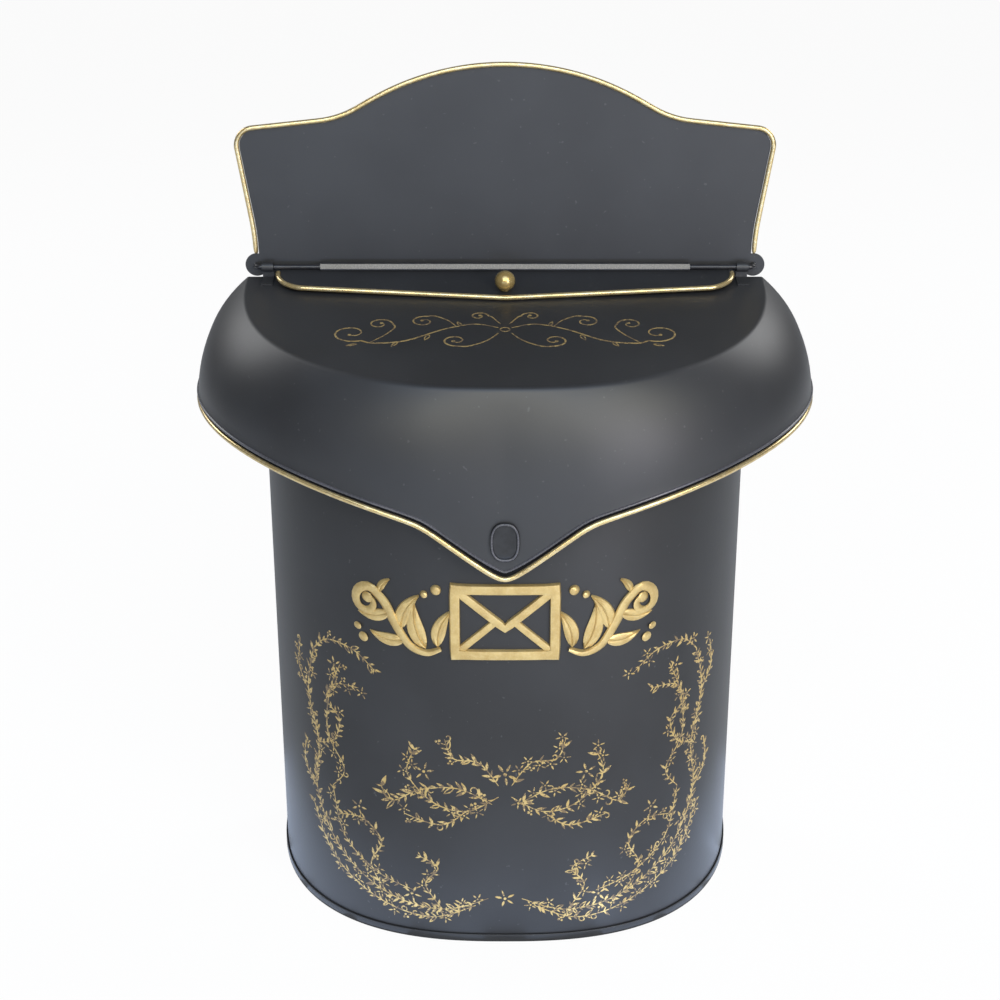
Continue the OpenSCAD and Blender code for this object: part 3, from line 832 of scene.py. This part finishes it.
class MAILBOX_OT_bonnet(PieceOperator):
    """Shapes the lid from a grid, with its fold, skirt, lip and groove, and cuts the slot"""

    bl_idname = "mailbox.bonnet"
    bl_label = "Lid"

    # The grid's columns, which crowd to the middle by a power, its steps round the fold, and its
    # rows down the skirt.
    COLUMNS, CROWDING, ROUNDING, ROWS = 144, 1.35, 6, 14

    # The fold's radius at the sides as a share, how wide the groove is taller at the tip, how far
    # the lip reaches up, and the least slant of the skirt to its edge.
    FOLD_LEAST, TIP_WIDE, LIP_TALL, SLANT_LEAST = 0.3, 9.0, 2.2, 0.5

    # Down the lip: heights above the groove, and shares of the lip's reach.
    LIP = ((1.3, 0.1), (1.2, 0.5), (1.0, 0.85), (0.65, 1), (0.3, 0.85), (0.08, 0.4))
    GROOVE_ROWS = 3

    def execute(self, context):
        columns = [self.section(self.column_turn(i)) for i in range(self.COLUMNS + 1)]
        rows = len(columns[0]) - 1
        lid = new_primitive(
            "bonnet", bpy.ops.mesh.primitive_grid_add,
            x_subdivisions=self.COLUMNS, y_subdivisions=rows, size=1)
        lip_end = self.ROUNDING + 1 + self.ROWS + len(self.LIP)
        # Faces in the groove take the second paint, painted shade, and faces on the lip the third,
        # a painted highlight.
        for face in lid.data.polygons:
            below = (0.5 - face.center.y) * rows - lip_end
            if -1 < below < self.GROOVE_ROWS:
                face.material_index = 1
            elif -len(self.LIP) < below < -1:
                face.material_index = 2
        for vertex in lid.data.vertices:
            i = round((vertex.co.x + 0.5) * self.COLUMNS)
            j = round((0.5 - vertex.co.y) * rows)
            vertex.co = placed(columns[i][j])
        self.close(lid)
        turn_outwards(lid)
        self.cut_slot(lid)
        smooth(lid, 32)
        finish_piece(lid, "lid_body", "black_paint", "lid", "black", "groove", "edge")
        return {"FINISHED"}

    def column_turn(self, i):
        share = 1 - 2 * i / self.COLUMNS
        return math.radians(90 - 90 * math.copysign(abs(share) ** self.CROWDING, share))

    def section(self, turn):
        """Outer face from the top down to the bead, then the inner face back up."""
        sizes = self.sizes
        line = SkirtLine(turn)
        reach = sizes.fold_radius / MM
        reach *= self.FOLD_LEAST + (1 - self.FOLD_LEAST) * math.sin(turn)
        first, last = (SkirtLine(near).top for near in turns_beside(turn))
        inward = TOP_OUT.cross(last - first).normalized()
        start = line.top - inward * reach
        share = reach / (2 * (line.mid - line.top).length)
        bend = line.at(share)
        outer = []
        for k in range(self.ROUNDING + 1):
            t = k / self.ROUNDING
            outer.append((1 - t) ** 2 * start + 2 * t * (1 - t) * line.top + t * t * bend)

        slant = max(self.SLANT_LEAST, -line.down(1).dot(line.up))
        tip = sizes.tip_gap / MM * math.exp(-(line.wire.x / self.TIP_WIDE) ** 2)
        base = WIRE_R + SEAT
        lip_low = WIRE_R + sizes.groove_tall / MM + tip
        lip_high = lip_low + self.LIP_TALL
        length_down = 2 * (line.low - line.mid).length
        last_t = 1 - (lip_high - base) / slant / length_down
        for k in range(1, self.ROWS + 1):
            outer.append(line.at(share + (last_t - share) * k / self.ROWS))

        def beside(height, out):
            back = (height - base) / slant
            return line.low - line.down(1) * back + line.out * out

        lip, groove = sizes.lip_out / MM, sizes.groove_in / MM
        outer += [beside(lip_low + rise, lip * part) for rise, part in self.LIP]
        outer += [
            beside(lip_low, -groove * 0.6), beside(lip_low - 0.3, -groove),
            beside(base + 0.5, -groove), beside(base - 0.1, -0.35),
        ]
        inner = [
            beside(base - 0.1, -1.1), beside(base + 0.6, -groove - 0.5), beside(lip_high, -SHEET),
        ]
        for k in range(self.ROWS, -1, -2):
            t = share + (last_t - share) * k / self.ROWS
            inner.append(line.at(t) - self.skirt_out(turn, t) * SHEET)
        inner.append(start - TOP_OUT * SHEET)
        if turn in (0, math.pi):
            for point in outer + inner:
                point.y = LID_BACK
        return outer + inner

    def skirt_out(self, turn, t):
        before, after = (SkirtLine(near).at(t) for near in turns_beside(turn))
        return (after - before).cross(SkirtLine(turn).down(t)).normalized()

    def close(self, lid):
        """Fills the flat top, its underside and both ends."""
        start_edit(lid)
        mesh = bmesh.from_edit_mesh(lid.data)
        wide = self.COLUMNS + 1
        grid = sorted(mesh.verts, key=lambda v: v.index)
        rows = [grid[k:k + wide] for k in range(0, len(grid), wide)]
        first, last = rows[0], rows[-1]
        mesh.faces.new(first)
        mesh.faces.new(list(reversed(last)))
        for side in (0, -1):
            mesh.faces.new([row[side] for row in rows])
        mesh.faces.new([first[0], first[-1], last[-1], last[0]])
        bmesh.update_edit_mesh(lid.data)
        end_edit()

    def cut_slot(self, lid):
        middle = placed((0, -SLOT_BACK - SLOT_OPEN / 2, LID_UP))
        cutter = new_primitive(
            "slot_cutter", bpy.ops.mesh.primitive_cube_add, size=1, location=middle)
        through = 30
        settle(cutter, scale=Vector((SLOT_WIDE, SLOT_OPEN, through)) * MM)
        round_edges(cutter, SLOT_CORNER * MM, 8, lambda edge: (
            abs(edge.verts[0].co.z - edge.verts[1].co.z) > through / 2 * MM
        ))
        faces = len(lid.data.polygons)
        apply_modifier(lid, "BOOLEAN", object=cutter, operation="DIFFERENCE", solver="EXACT")
        need(len(lid.data.polygons) > faces, "the letter slot wasn't cut")
        bpy.data.objects.remove(cutter)


class MAILBOX_OT_beads(PieceOperator):
    """Rounds the three gold wire beads along the crest, the lid and the flap"""

    bl_idname = "mailbox.beads"
    bl_label = "Gold beads"

    BEADS = (
        ("crest_edge_wire", "crest_bead", "box_body"),
        ("lid_edge_wire", "bonnet_bead", "lid_body"),
        ("flap_edge_wire", "flap_bead", "flap_body"),
    )

    # Subdividing an eight-sided wire draws it in by this share of its radius. It is swelled first.
    DRAWN_IN = 1 / (2 / 3 + math.cos(math.pi / 4) / 3) - 1

    def execute(self, context):
        for node, name, body in self.BEADS:
            bead = cad_copy(node, name, merge=False)
            start_edit(bead)
            bpy.ops.mesh.tris_convert_to_quads(face_threshold=1.2, shape_threshold=1.2)
            bpy.ops.transform.shrink_fatten(value=WIRE_R * MM * self.DRAWN_IN)
            end_edit()
            apply_modifier(bead, "SUBSURF", levels=2, render_levels=2)
            smooth(bead, 60)
            finish_piece(bead, body, "gold_paint", node, "gold_bead")
        return {"FINISHED"}


class MAILBOX_OT_flap(PieceOperator):
    """Smooths the letter flap with its rolled knuckle"""

    bl_idname = "mailbox.flap"
    bl_label = "Letter flap"

    # How far from the knuckle's axis its flat lies, the reach of the knuckle, how far up the flat
    # looks, and how closely a face has to lie in it.
    FLAT, KNUCKLE, LOOK_UP, CLOSE = 1.84, 2.4, math.radians(18), 0.02

    def execute(self, context):
        flap = cad_copy("flap", "letter_flap")
        self.flatten_knuckle(flap)
        smooth(flap)
        finish_piece(flap, "flap_body", "black_paint", "flap", "black", "edge")
        return {"FINISHED"}

    def flatten_knuckle(self, flap):
        """Presses a narrow flat along the front of the round knuckle."""
        axis = placed((0, -HINGE_OUT, HINGE_UP))
        facing = Vector((0, -math.cos(self.LOOK_UP), math.sin(self.LOOK_UP)))

        def above_flat(spot):
            reach = spot - axis
            reach.x = 0
            return reach.dot(facing) - self.FLAT * MM, reach.length

        for vertex in flap.data.vertices:
            rise, reach = above_flat(vertex.co)
            if rise > 0 and reach < self.KNUCKLE * MM:
                vertex.co -= facing * rise
        # Faces in the flat take the second paint, a painted highlight along the knuckle's front.
        for face in flap.data.polygons:
            rise, _ = above_flat(face.center)
            face.material_index = int(abs(rise) < self.CLOSE * MM)


class MAILBOX_OT_small_parts(PieceOperator):
    """Smooths the hinge wire, the lid's two lugs and the knob's screw"""

    bl_idname = "mailbox.small_parts"
    bl_label = "Hinge wire, lugs and screw"

    PARTS = (
        ("hinge_wire", "hinge_rod", "box_body", "dark_wire", "wire"),
        ("lid_lug_left", "left_lug", "lid_body", "black_paint", "black"),
        ("lid_lug_right", "right_lug", "lid_body", "black_paint", "black"),
        ("knob_screw", "screw", "flap_body", "dark_wire", "wire"),
    )

    def execute(self, context):
        for node, name, body, slot, paint in self.PARTS:
            part = cad_copy(node, name)
            smooth(part)
            finish_piece(part, body, slot, node, paint)
        return {"FINISHED"}


class MAILBOX_OT_knob(PieceOperator):
    """Turns the ball knob on its collar"""

    bl_idname = "mailbox.knob"
    bl_label = "Ball knob"

    NECK_UP, COLLAR_R, COLLAR_TALL, COLLAR_ROUND = -4.2, 2.4, 0.15, 0.05

    def execute(self, context):
        low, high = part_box("knob")
        radius = (high.x - low.x) / 2
        knob = new_primitive(
            "ball_knob", bpy.ops.mesh.primitive_uv_sphere_add,
            segments=48, ring_count=28, radius=radius)
        neck, hair = self.NECK_UP * MM, 1e-5
        start_edit(knob)
        bpy.ops.mesh.bisect(
            plane_co=(0, 0, neck), plane_no=(0, 0, 1), clear_inner=True, use_fill=True)
        mesh = bmesh.from_edit_mesh(knob.data)
        for face in mesh.faces:
            level = face.calc_center_median().z
            face.select_set(face.normal.z < -0.99 and level < neck + hair)
        bmesh.update_edit_mesh(knob.data)
        cut = [math.hypot(v.co.x, v.co.y) for v in mesh.verts if v.select]
        need(cut, "the knob's neck wasn't cut")
        share = self.COLLAR_R * MM / max(cut)
        bpy.ops.mesh.extrude_region_move(TRANSFORM_OT_translate={"value": (0, 0, -hair)})
        bpy.ops.transform.resize(value=(share, share, 1))
        down = (0, 0, -self.COLLAR_TALL * MM)
        bpy.ops.mesh.extrude_region_move(TRANSFORM_OT_translate={"value": down})
        end_edit()
        round_edges(knob, self.COLLAR_ROUND * MM, 2, lambda edge: (
            sharp(edge, 50) and edge.verts[0].co.z < neck + hair
        ))
        centre = (0, low.y + radius, high.z - radius)
        settle(knob, rotation_euler=(FLAP_DROOP, 0, 0), location=centre)
        smooth(knob, 40)
        finish_piece(knob, "flap_body", "gold_paint", "knob", "gold_ball")
        return {"FINISHED"}


class MAILBOX_OT_finger_pull(PieceOperator):
    """Presses the small oval finger plate at the tip of the lid"""

    bl_idname = "mailbox.finger_pull"
    bl_label = "Finger plate"

    # The plate is a little narrower and stands higher than its node, and leans with the skirt.
    NARROWER, HIGHER, HALF_TALL, LEAN, SQUARE = 0.5, 1.35, 8.9, 1.6, 0.8
    THICK = 0.95

    # Insets from the edge inwards, each with its rise. The steep faces round the border are small.
    PRESSING = (
        (0.35, 0.42), (0.40, 0.18), (0.40, -0.18), (0.35, -0.62), (1.2, -0.12), (2.0, 0.03),
    )
    BORDER_UP, BORDER_FACE = 1.2, 2

    def execute(self, context):
        low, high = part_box("finger_plate")
        half, tall = (high.x - low.x) / 2 - self.NARROWER * MM, self.HALF_TALL * MM
        plate = new_primitive(
            "finger_pull", bpy.ops.mesh.primitive_circle_add,
            vertices=64, radius=1, fill_type="NGON")
        for vertex in plate.data.vertices:
            x, y = vertex.co.xy
            vertex.co.x = half * math.copysign(abs(x) ** self.SQUARE, x)
            vertex.co.y = tall * math.copysign(abs(y) ** self.SQUARE, y)
        start_edit(plate)
        up = (0, 0, self.THICK * MM)
        bpy.ops.mesh.extrude_region_move(TRANSFORM_OT_translate={"value": up})
        for inset, rise in self.PRESSING:
            bpy.ops.mesh.inset(thickness=inset * MM, depth=rise * MM)
        end_edit()
        # The small steep faces round the raised border take the second paint, painted highlight
        # lines.
        for face in plate.data.polygons:
            raised = face.center.z > self.BORDER_UP * MM
            face.material_index = int(raised and face.area < self.BORDER_FACE * MM * MM)
        turn_outwards(plate)
        lean = math.atan2(high.y - low.y - self.LEAN * MM, high.z - low.z)
        centre = (low + high) / 2 + Vector((0, 0, self.HIGHER * MM))
        settle(plate, rotation_euler=(math.radians(90) - lean, 0, 0), location=centre)
        shift = low.y - min(v.co.y for v in plate.data.vertices)
        settle(plate, location=(0, shift, 0))
        smooth(plate, 50)
        finish_piece(plate, "lid_body", "black_paint", "finger_plate", "gloss", "edge")
        return {"FINISHED"}


class MAILBOX_OT_relief(PieceOperator):
    """Raises the gold envelope and its leaf scrolls on the tub's front"""

    bl_idname = "mailbox.relief"
    bl_label = "Gold relief"

    # Points are (right, up) from the relief's middle. The curl is as spiral takes it, a leaf adds
    # its angle in degrees and its length, and a ball its radius.
    MIDDLE_UP, ROOT = 170.5, 0.4
    WIDE, TALL, BORDER, FOLD = 50, 37, 4.8, 4.0
    STEM = ((29, -14), (36, -16.5), (44, -13), (50.5, -3), (55, 6), (61, 12))
    CURL = (64, 5.5, 7.6, 1.05, math.radians(112), -1, 0.25)
    LEAVES = (
        (30.5, -13, 84, 19), (36, -14, 52, 23), (46, -11, -18, 17),
        (48, -6, 92, 20), (53, 2, -34, 16), (58, 11, 102, 9),
    )
    BALLS = ((66.5, -13, 2.3), (69.5, -8, 1.7), (31, 15, 2.4), (36.5, 12.5, 1.7))

    def execute(self, context):
        height = self.sizes.relief_height / MM
        work = Ornament(TubFront(), height, self.ROOT, Ornament.BOARD)
        self.envelope(work)
        for side in (1, -1):
            self.scroll(work, side)
        relief = work.piece("relief")
        smooth(relief, 32)
        finish_piece(relief, "box_body", "gold_paint", None, "gold")
        return {"FINISHED"}

    def envelope(self, work):
        middle = self.MIDDLE_UP
        half, rise = self.WIDE / 2 - self.BORDER / 2, self.TALL / 2 - self.BORDER / 2
        low, high = middle - rise, middle + rise
        corners = [(-half, low), (half, low), (half, high), (-half, high)]
        border, steps, mitre = [], 12, 1.41  # A corner is wider by the diagonal of a square.
        for i, corner in enumerate(corners):
            border += between(corner, corners[(i + 1) % 4], steps)
        widths = [self.BORDER * (1 if k % steps else mitre) for k in range(len(border))]
        work.stroke(border, widths, closed=True)
        left, tip, right = (-half, high), (0, middle - rise * 0.18), (half, high)
        flap = between(left, tip, 10) + between(tip, right, 10) + [right]
        work.stroke(flap, [self.FOLD] * len(flap), height=work.height * 0.9)
        for side in (-1, 1):
            inner = (side * 5, low + rise * 0.98)
            tail = between((side * half, low), inner, 9) + [inner]
            work.stroke(tail, [self.FOLD * 0.85] * len(tail), height=work.height * 0.72)

    def scroll(self, work, side):
        middle = self.MIDDLE_UP
        stem = curve_through([(side * x, middle + z) for x, z in self.STEM], 8)
        stem += [(side * x, middle + z) for x, z in spiral(*self.CURL)[1:]]
        count = len(stem)
        swell = [math.sin(math.pi * k / count) ** 0.8 for k in range(count)]
        work.stroke(stem, [1.8 + 3.0 * share for share in swell], section=Ornament.ROUND)
        work.ball(*stem[-1], 2.6)
        for x, z, angle, long in self.LEAVES:
            self.leaf(work, side, x, middle + z, math.radians(angle), long)
        for x, z, radius in self.BALLS:
            work.ball(side * x, middle + z, radius)

    def leaf(self, work, side, x, z, angle, long):
        """A veined leaf that bends a little towards its tip."""
        bend, steps = 0.44, 10
        line, widths = [], []
        for k in range(steps + 1):
            share = k / steps
            a = angle + bend * share
            line.append((side * (x + long * share * math.cos(a)), z + long * share * math.sin(a)))
            widths.append(0.35 + long * 0.34 * math.sin(math.pi * share ** 0.75) ** 0.9)
        work.stroke(line, widths, height=work.height * 0.8, section=Ornament.VEINED)


class Foliage:
    """Twigs, leaves, blossoms and berries for the printed ornament."""

    # A draw from 0 to 1 gives an open leaf below the first of these, then a filled leaf, berries
    # or a tendril below the others, and a blossom above them all.
    OPEN, LEAFY, BERRIED, CURLED = 0.12, 0.60, 0.70, 0.78

    def __init__(self, work, seed):
        self.work, self.draw = work, random.Random(seed)

    def leaf(self, u, v, angle, long, open_shape=False):
        wide = long * self.draw.uniform(0.22, 0.34)
        edge = [(long * k / 6, wide / 2 * math.sin(math.pi * (k / 6) ** 0.8)) for k in range(7)]
        if open_shape:
            for flip in (1, -1):
                line = turned([(x, flip * y) for x, y in edge], angle, u, v)
                self.work.stroke(line, taper(7, 0.6, 0.3))
        else:
            self.work.plate(turned(edge + [(x, -y) for x, y in reversed(edge[1:-1])], angle, u, v))

    def blossom(self, u, v, size):
        start = self.draw.uniform(0, math.tau)
        for k in range(5):
            angle = start + math.tau * k / 5 + self.draw.uniform(-0.15, 0.15)
            reach = size * self.draw.uniform(0.28, 0.34)
            self.leaf(u + reach * math.cos(angle), v + reach * math.sin(angle), angle, size * 0.8)
        self.work.dot(u, v, size * 0.17, 6)

    def berries(self, u, v, angle):
        self.work.stroke(turned([(0, 0), (1.4, 0.25), (2.6, 0.2)], angle, u, v), [0.4, 0.5, 0.4])
        for x, y in ((3.3, 0.9), (3.6, -0.7), (4.9, 0.2)):
            (at,) = turned([(x, y)], angle, u, v)
            self.work.dot(*at, self.draw.uniform(0.5, 0.75), 7)

    def tendril(self, u, v, angle, size):
        hand = self.draw.choice((-1, 1))
        curl = spiral(0, 0, size, 0.8, 0, hand, 0.3, 16)
        line = turned([(size - x, y) for x, y in curl], angle, u, v)
        self.work.stroke(line, taper(len(line), 0.65, 0.25))

    def twig(self, knots, spacing, leaf_long):
        """A stem that carries something to either side at about each spacing."""
        line = curve_through(knots, 9)
        self.work.stroke(line, taper(len(line), 0.6, 0.3))
        run, flip = 0.0, 1
        for i in range(1, len(line) - 1):
            run += math.dist(line[i], line[i - 1])
            if run < spacing:
                continue
            run, flip = self.draw.uniform(-0.5, 0.5), -flip
            (u, v), way = line[i], heading(line, i)
            angle = way + flip * self.draw.uniform(0.5, 1.0)
            kind = self.draw.random()
            if kind < self.LEAFY:
                long = leaf_long * self.draw.uniform(0.7, 1.2)
                self.leaf(u, v, angle, long, kind < self.OPEN)
                other = way - flip * self.draw.uniform(0.5, 1.0)
                self.leaf(u, v, other, leaf_long * self.draw.uniform(0.5, 0.9))
            elif kind < self.BERRIED:
                self.berries(u, v, angle)
            elif kind < self.CURLED:
                self.tendril(u, v, angle, leaf_long * 0.45)
            else:
                reach = self.draw.uniform(1.8, 3.4)
                self.blossom(u + reach * math.cos(angle), v + reach * math.sin(angle), 3.0)


class MAILBOX_OT_front_print(PieceOperator):
    """Prints the leafy sprays on the tub's front"""

    bl_idname = "mailbox.front_print"
    bl_label = "Front print"

    # Each stem's points as (distance from the middle, height), how far apart its leaves are, and
    # their length.
    TWIGS = (
        ([(8, 24), (30, 17), (58, 22), (86, 40), (100, 66), (97, 92), (104, 118), (98, 142)],
         2.3, 4.6),
        ([(14, 20), (36, 12), (64, 18), (90, 34), (104, 58)], 2.6, 4.2),
        ([(58, 22), (66, 36), (60, 50), (70, 60), (84, 58)], 2.2, 4.2),
        ([(97, 92), (86, 98), (82, 110), (90, 118), (84, 128), (70, 130)], 2.2, 4.0),
        ([(30, 17), (38, 30), (32, 40), (42, 46)], 2.3, 4.0),
        ([(98, 142), (88, 150), (72, 149), (60, 140)], 2.2, 4.2),
        ([(104, 118), (112, 128), (110, 142)], 2.4, 3.8),
        ([(100, 66), (110, 76), (108, 90)], 2.4, 3.8),
        ([(3, 80), (18, 72), (34, 76), (46, 90), (42, 104)], 2.2, 5.0),
        ([(18, 72), (30, 64), (48, 68)], 2.3, 4.4),
        ([(3, 86), (12, 98), (24, 100), (28, 110)], 2.2, 4.4),
        ([(44, 26), (64, 33), (82, 48), (88, 72)], 2.6, 3.8),
        ([(88, 72), (80, 84), (90, 100), (88, 122), (80, 140)], 2.6, 3.8),
        ([(6, 76), (22, 84), (40, 82), (54, 74), (60, 82)], 2.4, 6.0),
    )

    # Blossoms as (distance from the middle, height, size), on both sides and on the middle line.
    BLOSSOMS = (
        (45, 24, 4.4), (92, 52, 4.8), (101, 104, 4.4),
        (72, 66, 4.0), (84, 138, 4.2), (38, 92, 4.6),
    )
    MIDDLE_BLOSSOMS = ((0, 92, 5.5), (0, 24, 4.5))
    ROOT, SEED = 0.3, 11

    def execute(self, context):
        work = Ornament(TubFront(), self.sizes.print_height / MM, self.ROOT)
        plants = Foliage(work, self.SEED)
        for side in (1, -1):
            for knots, spacing, leaf_long in self.TWIGS:
                plants.twig([(side * u, v) for u, v in knots], spacing, leaf_long)
            for u, v, size in self.BLOSSOMS:
                plants.blossom(side * u, v, size)
        for blossom in self.MIDDLE_BLOSSOMS:
            plants.blossom(*blossom)
        sprays = work.piece("front_sprays")
        finish_piece(sprays, "box_body", "gold_paint", None, "gold_print")
        return {"FINISHED"}


class MAILBOX_OT_lid_print(PieceOperator):
    """Prints the scroll on the lid's flat top"""

    bl_idname = "mailbox.lid_print"
    bl_label = "Lid print"

    # Each scroll's stem as points, then its curl's middle, radius, start in degrees and hand, then
    # its width. Each leaf as its point, angle in degrees and length.
    SCROLLS = (
        ([(3, -62), (14, -58), (28, -64), (44, -76), (58, -79)], (69, -68, 9.5, 240, 1), 1.0),
        ([(60, -78), (54, -70), (50, -62)], (57, -58, 6.0, 180, -1), 0.8),
        ([(22, -61), (26, -54), (32, -49)], (37, -55, 6.0, 100, -1), 0.8),
        ([(3, -68), (8, -76), (16, -82)], (22, -76, 6.0, 270, 1), 0.9),
        ([(2, -58), (6, -50)], (12, -49, 4.5, 180, -1), 0.8),
    )
    LEAVES = ((34, -70, -70, 6), (48, -78, -60, 5), (20, -60, 70, 5), (66, -80, -20, 5))
    ROOT, SEED, TURNS, INNER = 0.3, 5, 1.15, 0.22

    def execute(self, context):
        work = Ornament(on_lid_top, self.sizes.print_height / MM, self.ROOT)
        for side in (1, -1):
            for knots, (u, v, radius, start, hand), wide in self.SCROLLS:
                curl = spiral(u, v, radius, self.TURNS, math.radians(start), hand, self.INNER)
                line = curve_through(knots + curl[:1], 8) + curl[1:]
                line = [(side * x, y) for x, y in line]
                work.stroke(line, taper(len(line), wide, 0.35))
                work.dot(*line[-1], 0.9)
            for u, v, angle, long in self.LEAVES:
                way = math.radians(angle if side > 0 else 180 - angle)
                Foliage(work, self.SEED).leaf(side * u, v, way, long, True)
        work.ring(0, -64, 2.2, 0.6)
        scroll = work.piece("lid_scroll")
        finish_piece(scroll, "lid_body", "gold_paint", None, "gold_print")
        return {"FINISHED"}


class MAILBOX_PT_panel(bpy.types.Panel):
    """Lists the mailbox's pieces, sizes and colours"""

    bl_idname = "MAILBOX_PT_panel"
    bl_label = "Mailbox"
    bl_space_type = "VIEW_3D"
    bl_region_type = "UI"
    bl_category = "Mailbox"

    def draw(self, context):
        column = self.layout.column(align=True)
        for operator in STEPS:
            column.operator(operator.bl_idname)
        for group in (context.scene.mailbox_sizes, context.scene.mailbox_colours):
            column = self.layout.column(align=True)
            for name in group.bl_rna.properties.keys():
                if name not in {"rna_type", "name"}:
                    column.prop(group, name)


STEPS = (
    MAILBOX_OT_stage,
    MAILBOX_OT_tub,
    MAILBOX_OT_bonnet,
    MAILBOX_OT_beads,
    MAILBOX_OT_flap,
    MAILBOX_OT_small_parts,
    MAILBOX_OT_knob,
    MAILBOX_OT_finger_pull,
    MAILBOX_OT_relief,
    MAILBOX_OT_front_print,
    MAILBOX_OT_lid_print,
)
CLASSES = (MailboxSizes, MailboxColours, *STEPS, MAILBOX_PT_panel)


def register():
    for cls in CLASSES:
        bpy.utils.register_class(cls)
    bpy.types.Scene.mailbox_sizes = bpy.props.PointerProperty(type=MailboxSizes)
    bpy.types.Scene.mailbox_colours = bpy.props.PointerProperty(type=MailboxColours)


def unregister():
    del bpy.types.Scene.mailbox_colours
    del bpy.types.Scene.mailbox_sizes
    for cls in reversed(CLASSES):
        bpy.utils.unregister_class(cls)


def main():
    register()
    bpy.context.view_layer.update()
    for operator in STEPS:
        group, name = operator.bl_idname.split(".")
        done = getattr(getattr(bpy.ops, group), name)()
        need(done == {"FINISHED"}, f"{operator.bl_label} wasn't finished")


if __name__ == "__main__":
    main()
